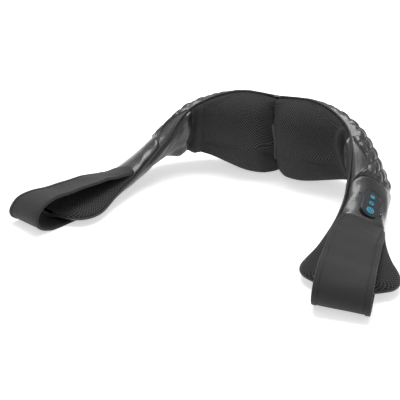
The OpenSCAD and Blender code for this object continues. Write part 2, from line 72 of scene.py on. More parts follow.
WELL_LENGTH, WELL_WIDTH, WELL_DEPTH = 23.5, 12.0, 5.0
STRAP_WIDTH, STRAP_THICK = 68, 3.0


def along(table, s):
    """Smooth value at distance s through a list of stations."""
    t = np.array(table, float)
    x, y = t[:, 0], t[:, 1]
    slopes = np.zeros(len(x))
    slopes[1:-1] = (y[2:] - y[:-2]) / (x[2:] - x[:-2])
    s = np.clip(np.asarray(s, float), x[0], x[-1])
    i = np.clip(np.searchsorted(x, s, side="right") - 1, 0, len(x) - 2)
    h = x[i + 1] - x[i]
    u = (s - x[i]) / h
    return (y[i] * (2 * u**3 - 3 * u**2 + 1) + h * slopes[i] * (u**3 - 2 * u**2 + u)
            + y[i + 1] * (3 * u**2 - 2 * u**3) + h * slopes[i + 1] * (u**3 - u**2))


def smooth(x, low, high):
    """0 below low, 1 above high, and a smooth step between."""
    t = np.clip((np.asarray(x, float) - low) / (high - low), 0, 1)
    return t * t * (3 - 2 * t)


def bump(x, centre, width):
    """A bell of height 1."""
    return np.exp(-((np.asarray(x, float) - centre) / width) ** 2)


def turn(s, side):
    angle = (np.asarray(s, float) - POD_STRAIGHT) / BEND_RADIUS
    return np.clip(angle, 0, math.radians(90 - SPLAY[side]))


def centre(s, side):
    """The belt's centre line, x positive on both sides."""
    s = np.asarray(s, float)
    a = turn(s, side)
    rest = np.maximum(s, POD_STRAIGHT) - POD_STRAIGHT - BEND_RADIUS * a
    x = np.minimum(s, POD_STRAIGHT) + BEND_RADIUS * np.sin(a) + rest * np.cos(a)
    y = -BEND_RADIUS * (1 - np.cos(a)) - rest * np.sin(a)
    return np.stack([x, y, along(HEIGHT, s)], -1)


def directions(s, side, twist=None):
    """Unit vectors along the belt, up across its width, and outward."""
    a = turn(s, side)
    w = np.radians(along(TWIST, s) if twist is None else twist)
    zero = np.zeros_like(a + w)
    flat = np.stack([np.sin(a) + zero, np.cos(a) + zero, zero], -1)
    up = np.stack([zero, zero, zero + 1], -1)
    c, n = np.cos(w)[..., None], np.sin(w)[..., None]
    forward = np.stack([np.cos(a) + zero, -np.sin(a) + zero, zero], -1)
    return forward, -n * flat + c * up, c * flat + n * up


def to_frame(points, side):
    """Belt coordinates in millimetres to the row frame in metres."""
    p = np.array(points, float)
    p[..., 0] *= side
    return (p + ORIGIN) * MM


def belt(s, side, p, q):
    """A point p up the width and q outward, in the row frame."""
    _, up, out = directions(s, side)
    return to_frame(centre(s, side) + np.asarray(p)[..., None] * up + np.asarray(q)[..., None] * out, side)


def soft(v):
    return np.sign(v) * np.abs(v) ** ROUND_POWER


def section(u, half, depth):
    """The rounded half section: p up the width and q outward, u from -1 to 1."""
    return half * soft(np.sin(math.pi / 2 * u)), depth * soft(np.cos(math.pi / 2 * u))


def even_u(s, depth, count, low=-1.0, high=1.0):
    """Values of u at even steps of arc length across the section at distance s."""
    fine = np.linspace(low, high, 800)
    p, q = section(fine, along(HALF_HEIGHT, s), depth)
    length = np.concatenate([[0], np.cumsum(np.hypot(np.diff(p), np.diff(q)))])
    return np.interp(np.linspace(0, length[-1], count), length, fine), length[-1]


# ---------------------------------------------------------------- mesh building
# Soft points lower than this are pressed up off the table
PRESSED = 1.6 * MM


def make_object(name, points, faces, uvs=None, smooth_faces=True):
    points = np.array(points, float)
    low = points[:, 2] < PRESSED
    points[low, 2] = (points[low, 2] + PRESSED) / 2
    mesh = bpy.data.meshes.new(name)
    mesh.from_pydata([tuple(p) for p in points], [], faces)
    if uvs is not None:
        layer = mesh.uv_layers.new(name="UVMap")
        index = np.zeros(len(mesh.loops), np.int32)
        mesh.loops.foreach_get("vertex_index", index)
        layer.data.foreach_set("uv", np.asarray(uvs, np.float32)[index].ravel())
    mesh.polygons.foreach_set("use_smooth", [smooth_faces] * len(mesh.polygons))
    mesh.update()
    obj = bpy.data.objects.new(name, mesh)
    bpy.context.scene.collection.objects.link(obj)
    return obj


def grid_normals(p):
    """Normals of a grid of points, by its two directions."""
    a = np.gradient(p, axis=0)
    b = np.gradient(p, axis=1)
    n = np.cross(a, b)
    return n / np.maximum(np.linalg.norm(n, axis=-1, keepdims=True), 1e-12)


def grid_faces(rows, columns, start=0, flip=False):
    i, j = np.meshgrid(np.arange(rows - 1), np.arange(columns - 1), indexing="ij")
    a = start + i * columns + j
    quads = np.stack([a, a + columns, a + columns + 1, a + 1], -1).reshape(-1, 4)
    return quads[:, ::-1] if flip else quads


def shell(name, p, uv, thickness, outward):
    """A closed skin: the grid p, the same grid pushed inward, and the rim between them."""
    n = grid_normals(p)
    if np.sum(n * outward) < 0:
        n = -n
        flip = True
    else:
        flip = False
    rows, columns = p.shape[:2]
    count = rows * columns
    back = p - n * thickness
    faces = [grid_faces(rows, columns, 0, flip), grid_faces(rows, columns, count, not flip)]
    index = np.arange(count).reshape(rows, columns)
    loop = np.concatenate([index[0, :-1], index[:-1, -1], index[-1, :0:-1], index[:0:-1, 0]])
    following = np.roll(loop, -1)
    rim = np.stack([loop, following, following + count, loop + count], -1)
    faces.append(rim if not flip else rim[:, ::-1])
    points = np.concatenate([p.reshape(-1, 3), back.reshape(-1, 3)])
    uvs = np.concatenate([uv.reshape(-1, 2)] * 2)
    return make_object(name, points, np.concatenate(faces).tolist(), uvs)


def tube(name, path, radius, sides=10, closed=False):
    """A round cord along a list of points, closed at its ends or round on itself."""
    path = np.asarray(path, float)
    if closed:
        d = np.roll(path, -1, 0) - np.roll(path, 1, 0)
    else:
        d = np.gradient(path, axis=0)
    d /= np.linalg.norm(d, axis=1, keepdims=True)
    a = np.cross(d, [0.3, 0.2, 0.93])
    a /= np.linalg.norm(a, axis=1, keepdims=True)
    b = np.cross(d, a)
    t = np.linspace(0, 2 * math.pi, sides, endpoint=False)
    r = np.broadcast_to(np.asarray(radius, float), (len(path),))[:, None, None]
    ring = path[:, None] + r * (np.cos(t)[:, None] * a[:, None] + np.sin(t)[:, None] * b[:, None])
    n = len(path)
    spans = n if closed else n - 1
    faces = [[(i % n) * sides + k, (i % n) * sides + (k + 1) % sides,
              ((i + 1) % n) * sides + (k + 1) % sides, ((i + 1) % n) * sides + k]
             for i in range(spans) for k in range(sides)]
    if not closed:
        faces.append(list(range(sides))[::-1])
        faces.append([(n - 1) * sides + k for k in range(sides)])
    length = np.concatenate([[0], np.cumsum(np.linalg.norm(np.diff(path, axis=0), axis=1))])
    uvs = [(length[i], k / sides * 2 * math.pi * float(r[i, 0, 0])) for i in range(n) for k in range(sides)]
    return make_object(name, ring.reshape(-1, 3), faces, uvs)


# ---------------------------------------------------------------- materials
class Nodes:
    """Short names for the nodes of one material."""

    def __init__(self, name):
        self.material = bpy.data.materials.new(name)
        self.material.use_nodes = True
        self.tree = self.material.node_tree
        self.bsdf = self.tree.nodes["Principled BSDF"]

    def new(self, kind, **settings):
        node = self.tree.nodes.new(kind)
        for key, value in settings.items():
            setattr(node, key, value)
        return node

    def link(self, a, b):
        self.tree.links.new(a, b)

    def feed(self, socket, value):
        if hasattr(value, "is_output"):
            self.link(value, socket)
        else:
            socket.default_value = value

    def math(self, operation, a, b=0.0, c=0.0):
        node = self.new("ShaderNodeMath", operation=operation)
        for socket, value in zip(node.inputs, (a, b, c)):
            self.feed(socket, value)
        return node.outputs[0]

    def uv(self):
        return self.new("ShaderNodeUVMap", uv_map="UVMap").outputs[0]

    def place(self):
        return self.new("ShaderNodeTexCoord").outputs["Object"]

    def split(self, vector):
        node = self.new("ShaderNodeSeparateXYZ")
        self.link(vector, node.inputs[0])
        return node.outputs

    def noise(self, vector, scale, detail=3.0, rough=0.55):
        node = self.new("ShaderNodeTexNoise")
        self.link(vector, node.inputs["Vector"])
        node.inputs["Scale"].default_value = scale
        node.inputs["Detail"].default_value = detail
        node.inputs["Roughness"].default_value = rough
        return node.outputs["Fac"]

    def cells(self, vector, scale, feature="F1", output="Distance"):
        node = self.new("ShaderNodeTexVoronoi", feature=feature)
        self.link(vector, node.inputs["Vector"])
        node.inputs["Scale"].default_value = scale
        return node.outputs[output]

    def ramp(self, value, low, high, from_low=0.0, from_high=1.0):
        node = self.new("ShaderNodeMapRange")
        node.interpolation_type = "SMOOTHSTEP"
        self.link(value, node.inputs["Value"])
        ends = (("From Min", from_low), ("From Max", from_high), ("To Min", low), ("To Max", high))
        for key, number in ends:
            node.inputs[key].default_value = number
        return node.outputs[0]

    def mix(self, value, a, b):
        node = self.new("ShaderNodeMix", data_type="RGBA")
        self.feed(node.inputs["Factor"], value)
        self.feed(node.inputs["A"], a if hasattr(a, "is_output") else (*a, 1))
        self.feed(node.inputs["B"], b if hasattr(b, "is_output") else (*b, 1))
        return node.outputs["Result"]

    def relief(self, height, strength, distance):
        node = self.new("ShaderNodeBump")
        node.inputs["Strength"].default_value = strength
        node.inputs["Distance"].default_value = distance
        self.link(height, node.inputs["Height"])
        return node.outputs[0]

    def finish(self, color, roughness, normal=None, **sockets):
        self.feed(self.bsdf.inputs["Base Color"], color if hasattr(color, "is_output") else (*color, 1))
        self.feed(self.bsdf.inputs["Roughness"], roughness)
        if normal is not None:
            self.link(normal, self.bsdf.inputs["Normal"])
        for key, value in sockets.items():
            self.bsdf.inputs[key.replace("_", " ")].default_value = value
        return self.material


def air_mesh():
    """Charcoal spacer mesh: UV counts holes, staggered, with fine knit between them; painted shade darkens
    the holes.
    """
    m = Nodes("air_mesh")
    uv = m.uv()
    x, y, _ = m.split(uv)

    def nearest(shift):
        dx = m.math("SUBTRACT", m.math("FRACT", m.math("ADD", x, shift)), 0.5)
        dy = m.math("SUBTRACT", m.math("FRACT", m.math("ADD", y, shift)), 0.5)
        return m.math("SQRT", m.math("ADD", m.math("MULTIPLY", dx, dx), m.math("MULTIPLY", dy, dy)))

    distance = m.math("MINIMUM", nearest(0.5), nearest(0.0))
    shaded_hole = m.ramp(distance, 1.0, 0.0, 0.19, 0.30)
    lip = m.ramp(distance, 0.0, 1.0, 0.24, 0.42)
    knit = m.cells(uv, 9.0)
    drift = m.noise(uv, 0.35, 4)
    thread = m.mix(drift, (0.026, 0.026, 0.0265), (0.040, 0.040, 0.041))
    lit = m.mix(m.ramp(knit, 0.0, 0.45, 0.1, 0.7), thread, (0.068, 0.068, 0.070))
    # painted shade: the holes are coloured near-black for the shade inside them
    color = m.mix(shaded_hole, lit, (0.0012, 0.0012, 0.0014))
    height = m.math("ADD", m.math("MULTIPLY", lip, 0.8), m.math("MULTIPLY", knit, 0.25))
    normal = m.relief(height, 0.75, 0.0007)
    return m.finish(color, m.ramp(shaded_hole, 0.72, 0.95), normal, Sheen_Weight=0.06, Sheen_Roughness=0.5,
                    Specular_IOR_Level=0.25)


def leather(name, quilted):
    """Black synthetic leather with grain; quilted leather also has thread along its seams."""
    m = Nodes(name)
    uv = m.uv()
    grain = m.cells(uv, 900, feature="DISTANCE_TO_EDGE")
    pores = m.noise(uv, 2600, 2)
    patch = m.noise(uv, 28, 4)
    creases = m.noise(uv, 160, 5, 0.65)
    color = m.mix(patch, (0.007, 0.007, 0.0075), (0.016, 0.016, 0.017))
    color = m.mix(m.ramp(creases, 0, 0.35, 0.55, 0.75), color, (0.036, 0.036, 0.038))
    height = m.math("ADD", m.ramp(grain, 0, 0.6, 0, 0.18), m.math("MULTIPLY", pores, 0.25))
    height = m.math("ADD", height, m.math("MULTIPLY", creases, 1.4))
    if quilted:
        x, y, _ = m.split(uv)
        spacing = QUILT_PITCH * MM * math.sqrt(2)
        thread = None
        for sign in (1, -1):
            across = m.math("DIVIDE", m.math("MULTIPLY_ADD", y, sign, x), spacing)
            run = m.math("DIVIDE", m.math("MULTIPLY_ADD", y, -sign, x), 0.0052)
            off = m.math("ABSOLUTE", m.math("SUBTRACT", m.math("FRACT", m.math("ADD", across, 0.5)), 0.5))
            line = m.ramp(off, 1, 0, 0.012, 0.028)
            dash = m.ramp(m.math("FRACT", run), 0, 1, 0.18, 0.26)
            mark = m.math("MULTIPLY", line, dash)
            thread = mark if thread is None else m.math("MAXIMUM", thread, mark)
        color = m.mix(m.math("MULTIPLY", thread, 0.5), color, (0.05, 0.05, 0.053))
        height = m.math("ADD", height, m.math("MULTIPLY", thread, 1.2))
    normal = m.relief(height, 0.42, 0.0004)
    rough = m.math("ADD", m.ramp(patch, 0.20, 0.34), m.math("MULTIPLY", pores, 0.06))
    return m.finish(color, rough, normal, Specular_IOR_Level=0.6, Coat_Weight=0.45, Coat_Roughness=0.18)


def woven(name, dark, light, thread_mm, roughness=0.85, sheen=0.3, depth=0.0003, strength=0.6):
    """Fine cloth: crossing threads, slow colour drift and a soft sheen."""
    m = Nodes(name)
    uv = m.uv()
    x, y, _ = m.split(uv)
    turns = 2 * math.pi / (thread_mm * MM)
    warp = m.math("SINE", m.math("MULTIPLY", x, turns))
    weft = m.math("SINE", m.math("MULTIPLY", y, turns))
    weave = m.math("MULTIPLY", warp, weft)
    fuzz = m.noise(uv, 1500, 3)
    drift = m.noise(uv, 22, 4)
    color = m.mix(drift, dark, light)
    color = m.mix(m.ramp(weave, 0, 0.3, -1, 1), color, tuple(1.6 * c for c in light))
    height = m.math("ADD", m.math("MULTIPLY", weave, 0.5), fuzz)
    normal = m.relief(height, strength, depth)
    return m.finish(color, roughness, normal, Sheen_Weight=sheen, Sheen_Roughness=0.45,
                    Specular_IOR_Level=0.35)


def moulded(name, color, roughness, metallic=0.0, coat=0.0, scale=900.0, wear=1.35, strength=0.25):
    """Moulded or machined stuff: fine texture, slow tone drift and slightly worn spots."""
    m = Nodes(name)
    place = m.place()
    fine = m.noise(place, scale, 3)
    drift = m.noise(place, 45, 4)
    base = m.mix(m.ramp(drift, 0, 0.6, 0.3, 0.8), color, tuple(min(1.0, c * wear) for c in color))
    rough = m.ramp(drift, max(0.02, roughness - 0.07), min(1.0, roughness + 0.07), 0.2, 0.8)
    normal = m.relief(fine, strength, 0.0001)
    return m.finish(base, rough, normal, Metallic=metallic, Coat_Weight=coat, Coat_Roughness=0.1)


def brushed(name, color, axis=0):
    """Metal with fine drawn lines along one axis."""
    m = Nodes(name)
    stretch = m.new("ShaderNodeMapping")
    m.link(m.place(), stretch.inputs["Vector"])
    scale = [900.0, 900.0, 900.0]
    scale[axis] = 25.0
    stretch.inputs["Scale"].default_value = scale
    lines = m.noise(stretch.outputs[0], 1.0, 4)
    base = m.mix(lines, tuple(0.8 * c for c in color), color)
    normal = m.relief(lines, 0.2, 0.00008)
    return m.finish(base, m.ramp(lines, 0.22, 0.42), normal, Metallic=1.0)


def glowing(name, color, strength):
    """A back-lit icon: coloured light through smoked plastic, a little uneven."""
    m = Nodes(name)
    drift = m.noise(m.place(), 600, 2)
    m.link(m.mix(drift, color, tuple(0.75 * c for c in color)), m.bsdf.inputs["Emission Color"])
    m.bsdf.inputs["Emission Strength"].default_value = strength
    return m.finish(m.mix(drift, color, tuple(0.6 * c for c in color)), 0.4)


QUILT_PITCH = 18.0
LOOKS = {}


def make_looks():
    LOOKS["air_mesh"] = air_mesh()
    LOOKS["quilted_leather"] = leather("quilted_leather", True)
    LOOKS["smooth_leather"] = leather("smooth_leather", False)
    LOOKS["gusset_cloth"] = woven("gusset_cloth", (0.013, 0.013, 0.0135), (0.02, 0.02, 0.021), 0.9,
                                 sheen=0.05)
    LOOKS["strap_cloth"] = woven("strap_cloth", (0.014, 0.014, 0.0145), (0.022, 0.022, 0.023), 0.8,
                                 roughness=0.7, sheen=0.10, depth=0.0002)
    LOOKS["piping"] = woven("piping", (0.022, 0.022, 0.023), (0.034, 0.034, 0.035), 0.7,
                            roughness=0.42, sheen=0.05)
    LOOKS["foam"] = moulded("foam", (0.5, 0.5, 0.46), 0.95, scale=700, strength=1.0)
    LOOKS["abs_black"] = moulded("abs_black", (0.03, 0.03, 0.033), 0.5)
    LOOKS["nylon_frame"] = moulded("nylon_frame", (0.05, 0.05, 0.055), 0.55)
    LOOKS["gear_nylon"] = moulded("gear_nylon", (0.75, 0.72, 0.62), 0.4, wear=1.1)
    LOOKS["node_rubber"] = moulded("node_rubber", (0.09, 0.075, 0.075), 0.7)
    LOOKS["steel"] = brushed("steel", (0.66, 0.66, 0.68))
    LOOKS["bronze"] = brushed("bronze", (0.62, 0.44, 0.22), 1)
    LOOKS["circuit_board"] = moulded("circuit_board", (0.03, 0.18, 0.08), 0.35, wear=1.6)
    LOOKS["heater_film"] = moulded("heater_film", (0.55, 0.28, 0.08), 0.3, coat=0.4)
    LOOKS["cable_black"] = moulded("cable_black", (0.02, 0.02, 0.02), 0.5)
    LOOKS["pad_gloss"] = moulded("pad_gloss", (0.012, 0.016, 0.02), 0.16, coat=0.6, scale=1500,
                                 strength=0.05)
    LOOKS["button_teal"] = moulded("button_teal", (0.012, 0.07, 0.10), 0.22, coat=0.5, scale=1500,
                                   strength=0.05)
    LOOKS["rivet_metal"] = moulded("rivet_metal", (0.10, 0.10, 0.11), 0.28, metallic=0.9)
    LOOKS["icon_teal"] = glowing("icon_teal", (0.015, 0.27, 0.40), 0.8)


def dress(obj, slot, look=None):
    obj.data.materials.clear()
    obj.data.materials.append(LOOKS[look or slot])


def paint_cad():
    """Every carried-over CAD node gets the look of its own slot."""
    for part in frame["record"]["subparts"]:
        obj = frame["nodes"].get(part["node"])
        if obj is None:
            continue
        for slot in obj.material_slots:
            slot.material = LOOKS[part["material_slot"]]


# ---------------------------------------------------------------- soft pieces
def arm_seam(u):
    """Where the quilting ends and the smooth panel begins, slanted across the arm."""
    return 223 + 22 * u


def strap_seam(u):
    return 300 + 8 * u


def face_points(s, u, side, inner, lift=0.0, half_add=0.0, depth_add=0.0):
    """Points of the belt's outer or inner face, lifted off it."""
    half = along(HALF_HEIGHT, s) + half_add
    depth = (-(along(INNER_HALF, s)) if inner else along(OUTER_HALF, s)) + depth_add
    p, q = section(u, half, depth)
    points = belt(s, side, p, q)
    if np.any(lift):
        n = grid_normals(points)
        _, _, out = directions(s, side)
        out = out * np.array([side, 1, 1])
        want = -out if inner else out
        n = np.where(np.sum(n * want, -1, keepdims=True) < 0, -n, n)
        points = points + n * (np.asarray(lift) * MM)[..., None]
    return points


def outward_of(s, side, inner):
    _, _, out = directions(s, side)
    return out * np.array([side, 1, 1]) * (-1 if inner else 1)


def face_grid(start, end, step, inner, width_step):
    """s, u and the arc length v on a grid over part of the outer or inner face."""
    mid = 0.5 * (float(np.mean(start(np.zeros(1)))) + float(np.mean(end(np.zeros(1)))))
    depth = float(along(INNER_HALF if inner else OUTER_HALF, mid))
    _, length = even_u(mid, depth, 3)
    columns = int(round(length / width_step)) + 1
    u, _ = even_u(mid, depth, columns)
    first, last = start(u), end(u)
    rows = int(round(float(np.mean(last - first)) / step)) + 1
    t = np.linspace(0, 1, rows)[:, None]
    s = first[None] + t * (last - first)[None]
    u = np.broadcast_to(u, s.shape).copy()
    v = np.broadcast_to(np.linspace(-length / 2, length / 2, columns), s.shape).copy()
    return s, u, v


def constant(value):
    return lambda u: value + 0 * np.asarray(u, float)


def tongue_edge(s):
    """Where the smooth tongue's cord runs across the width."""
    return 1.0 - 0.62 * bump(s, 214, 26)


def tongue(s, u):
    """1 inside the smooth tongue that comes over each arm's upper edge at its root."""
    edge = tongue_edge(s)
    return smooth(u, edge - 0.03, edge + 0.03)


def quilt_height(s, v, power=0.42):
    spacing = QUILT_PITCH * math.sqrt(2)
    a = np.abs(np.sin(math.pi * (s + v) / spacing))
    b = np.abs(np.sin(math.pi * (s - v) / spacing))
    return (a * b) ** power


def quilted_cover(side):
    s, u, v = face_grid(constant(0.0), arm_seam, 1.7, False, 1.7)
    edge = smooth(1 - np.abs(u), 0.0, 0.34) * smooth(arm_seam(u) - s, 0, 6) * (1 - tongue(s, u))
    lift = 3.6 * quilt_height(s, v) * edge * (0.3 + 0.7 * smooth(s, 50, 110))
    lift += 0.5 * np.sin(v / 9 + 0.7 * np.sin(s / 23)) * edge
    points = face_points(s, u, side, False, lift)
    obj = shell("quilted_cover_" + SIDE_NAME[side], points, np.stack([s, v], -1) * MM, 1.4 * MM,
                outward_of(s, side, False))
    dress(obj, "quilted_leather")
    return obj


def smooth_panel(side):
    start = lambda u: arm_seam(u) + 0.3
    s, u, v = face_grid(start, strap_seam, 1.8, False, 1.8)
    edge = smooth(1 - np.abs(u), 0.0, 0.12) * smooth(s - start(u), 0, 5) * smooth(strap_seam(u) - s, 0, 5)
    near_pad = bump(s, PAD_AT, 30) * bump(v, 0, 15) if side > 0 else 0 * s
    lift = 1.2 * edge + 0.7 * np.sin((s + 1.4 * v) / 6.5) * bump(v, -26, 12) * edge
    lift += 0.6 * np.sin((s - 0.8 * v) / 5.5) * bump(v, 27, 9) * edge
    lift = lift * (1 - 0.75 * near_pad) - 0.4 * near_pad
    if side > 0:
        # the cover sinks away under the keypad
        well = 1 - ((s - PAD_AT) / WELL_LENGTH) ** 4 - (v / WELL_WIDTH) ** 4
        lift -= WELL_DEPTH * smooth(well, 0.0, 0.35)
    points = face_points(s, u, side, False, lift)
    obj = shell("smooth_panel_" + SIDE_NAME[side], points, np.stack([s, v], -1) * MM, 1.3 * MM,
                outward_of(s, side, False))
    dress(obj, "quilted_leather", "smooth_leather")
    return obj


def mesh_top(s):
    """Upper edge of the mesh: it dips at the middle and leaves a smooth band toward each arm."""
    return 0.97 - 0.27 * np.exp(-(s / 13.0) ** 2) - 0.17 * smooth(s, 60, 125)


def crease_of(s):
    """How far the inner face is drawn in beside the middle of the pod."""
    c = np.exp(-np.abs(s) / 5.0) + 0.35 * np.exp(-np.abs(s) / 16.0)
    return {"half_add": -3.0 * c, "depth_add": 9.0 * c}


def top_band():
    """The smooth cloth above the mesh, from one arm's root to the other."""
    s = np.abs(np.linspace(-(MESH_END - 0.3), MESH_END - 0.3, 187))[:, None]
    low, t = mesh_top(s), np.linspace(0, 1, 13)[None]
    u = low + (1 - low) * t
    lift = 1.0 * np.sin(math.pi * t) ** 0.6 + 0.25 * np.sin(s / 4.7 + 3 * t) * np.sin(math.pi * t)
    sides = [face_points(s, u, k, True, lift, **crease_of(s)) for k in (-1, 1)]
    points = np.where(np.arange(len(s))[:, None, None] < len(s) // 2, sides[0], sides[1])
    length = np.linspace(-MESH_END, MESH_END, len(s))[:, None] + 0 * t
    uv = np.stack([length, 40 * t + 0 * s], -1) * MM
    inward = [outward_of(s, k, True) for k in (-1, 1)]
    out = np.where(np.arange(len(s))[:, None, None] < len(s) // 2, inward[0], inward[1])
    obj = shell("top_band", points, uv, 1.2 * MM, out)
    dress(obj, "gusset_cloth")
    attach(obj, "pod")
    seam = tube("band_seam", points[:, 0] + out[:, 0] * 0.5 * MM, 0.75 * MM, 8)
    dress(seam, "piping")
    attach(seam, "pod")


HOLE_PITCH = 4.4


def hole_dimples(rows, columns, pitch_steps=4):
    """Depth of the mesh's holes at each grid point, and UV that counts them."""
    i, j = np.meshgrid(np.arange(rows), np.arange(columns), indexing="ij")
    x, y = i / pitch_steps, j / pitch_steps
    corner = np.maximum(0, 0.5 * (np.cos(2 * math.pi * x) + np.cos(2 * math.pi * y)))
    middle = np.maximum(0, 0.5 * (np.cos(2 * math.pi * (x + 0.5)) + np.cos(2 * math.pi * (y + 0.5))))
    return np.maximum(corner, middle) ** 1.5, np.stack([x, y], -1)


def mesh_lobe(side):
    step = HOLE_PITCH / 4
    s, u, v = face_grid(constant(0.0), constant(MESH_END), step, True, step)
    margin = smooth(1 - np.abs(u), 0.0, 0.06) * smooth(MESH_END - s, 0, 4)
    u = -1 + (u + 1) * (1 + mesh_top(s)) / 2
    dimples, uv = hole_dimples(*s.shape)
    folds = 0.8 * np.sin(v / 7.5 + 1.3 * side) * np.exp(-s / 16) + 0.5 * np.sin(v / 12) * bump(s, 132, 12)
    lift = folds * margin - 0.85 * dimples * margin * smooth(s, 3, 8)
    points = face_points(s, u, side, True, lift, **crease_of(s))
    obj = shell("mesh_lobe_" + SIDE_NAME[side], points, uv, 1.4 * MM, outward_of(s, side, True))
    dress(obj, "air_mesh")
    return obj


def fold_depth(s):
    """How far the inner side is drawn in where each arm leaves the pod."""
    return 6.5 * bump(s, 158, 4.5)


def gusset(side):
    s, u, v = face_grid(constant(MESH_END - 0.6), constant(LINING_START), 1.3, True, 1.8)
    edge = smooth(1 - np.abs(u), 0.0, 0.15)
    lift = (0.9 * np.sin(v / 8.0) * bump(s, 158, 8) + 0.6 + 3.0 * bump(s, 148, 6)) * edge
    points = face_points(s, u, side, True, lift, depth_add=fold_depth(s) * smooth(1 - np.abs(u), 0, 0.35))
    obj = shell("gusset_" + SIDE_NAME[side], points, np.stack([s, v], -1) * MM, 1.2 * MM,
                outward_of(s, side, True))
    dress(obj, "gusset_cloth")
    return obj


def inner_lining(side):
    s, u, v = face_grid(constant(LINING_START), constant(TIP), 1.9, True, 1.9)
    edge = smooth(1 - np.abs(u), 0.0, 0.12)
    near = 1 - smooth(s, 230, 320)
    pucker = np.sin((v + 0.5 * (s - LINING_START)) / 5.5 + 0.8 * np.sin(s / 31)) * near
    lift = (1.5 * pucker + 4.6 * bump(s, 176, 9) + 0.6 * np.sin(s / 11 + v / 21) * near) * edge
    points = face_points(s, u, side, True, lift, depth_add=fold_depth(s) * smooth(1 - np.abs(u), 0, 0.35))
    obj = shell("inner_lining_" + SIDE_NAME[side], points, np.stack([s, v], -1) * MM, 1.2 * MM,
                outward_of(s, side, True))
    dress(obj, "smooth_leather")
    return obj


def paddle_face(side):
    step = HOLE_PITCH / 4
    s, u, _ = face_grid(strap_seam, constant(TIP), step, False, step)
    margin = smooth(1 - np.abs(u), 0.0, 0.07) * smooth(s - strap_seam(u), 0, 5) * smooth(TIP - s, 0, 8)
    dimples, uv = hole_dimples(*s.shape)
    lift = (1.5 - 0.5 * dimples) * margin
    points = face_points(s, u, side, False, lift)
    obj = shell("paddle_face_" + SIDE_NAME[side], points, uv, 1.3 * MM, outward_of(s, side, False))
    dress(obj, "air_mesh")
    return obj


PIPING_R = 1.7


def rim_path(side, lift=0.0):
    """The corded edge: along the upper edge, round the paddle's tip and back on the lower edge."""
    s = np.linspace(6, TIP - 3, 190)
    half = along(HALF_HEIGHT, s) + PIPING_R + lift
    top = belt(s, side, half, 0 * s)
    low = s >= LINING_START
    bottom = belt(s[low], side, -half[low], 0 * s[low])
    t = np.linspace(0.9, -0.9, 9)
    tip = belt(np.full(9, TIP + 1.0) + 2.0 * (1 - t**2), side, t * 14, 0 * t)
    return np.concatenate([top, tip, bottom[::-1]])


def rim_piping(side):
    obj = tube("rim_piping_" + SIDE_NAME[side], rim_path(side), PIPING_R * MM)
    dress(obj, "piping")
    return obj


def tongue_piping(side):
    """The light cord round the smooth tongue at the arm's root."""
    s = np.linspace(170, 246, 50)
    edge = tongue_edge(s)
    points = face_points(s[:, None], edge[:, None], side, False)[:, 0]
    out = outward_of(s, side, False)
    obj = tube("tongue_piping_" + SIDE_NAME[side], points + out * 1.1 * MM, 1.3 * MM, 8)
    dress(obj, "piping")
    return obj


STRAP_RUN = [[303, 38.6, 71], [318, 38, 73], [345, 37.5, 76], [380, 39, 78], [420, 41, 79], [453, 43, 80],
             [476, 40, 82], [488, 31, 83], [492, 20, 85], [487, 10, 87], [474, 4.5, 89],
             [457, 2.2, 90], [433, 1.9, 90], [417, 1.9, 90]]


def strap_ring():
    """Half width fractions and thickness offsets round the strap's section, with rolled hems."""
    wide = np.concatenate([np.linspace(0.76, 0.84, 9), [0.88, 0.92, 0.95, 0.975, 0.99, 1.0]])
    x = np.concatenate([-wide[::-1], np.linspace(-0.72, 0.72, 25), wide])
    hem = 0.75 * smooth(np.abs(x), 0.79, 0.83) - 0.5 * bump(np.abs(x), 0.785, 0.014)
    edge = np.sqrt(np.maximum(0, 1 - np.clip((np.abs(x) - 0.945) / 0.055, 0, 1) ** 2))
    half = (STRAP_THICK / 2 + hem) * np.maximum(edge, 0.0)
    top = np.stack([x, half], -1)
    bottom = np.stack([x[::-1][1:-1], -half[::-1][1:-1]], -1)
    return np.concatenate([top, bottom])


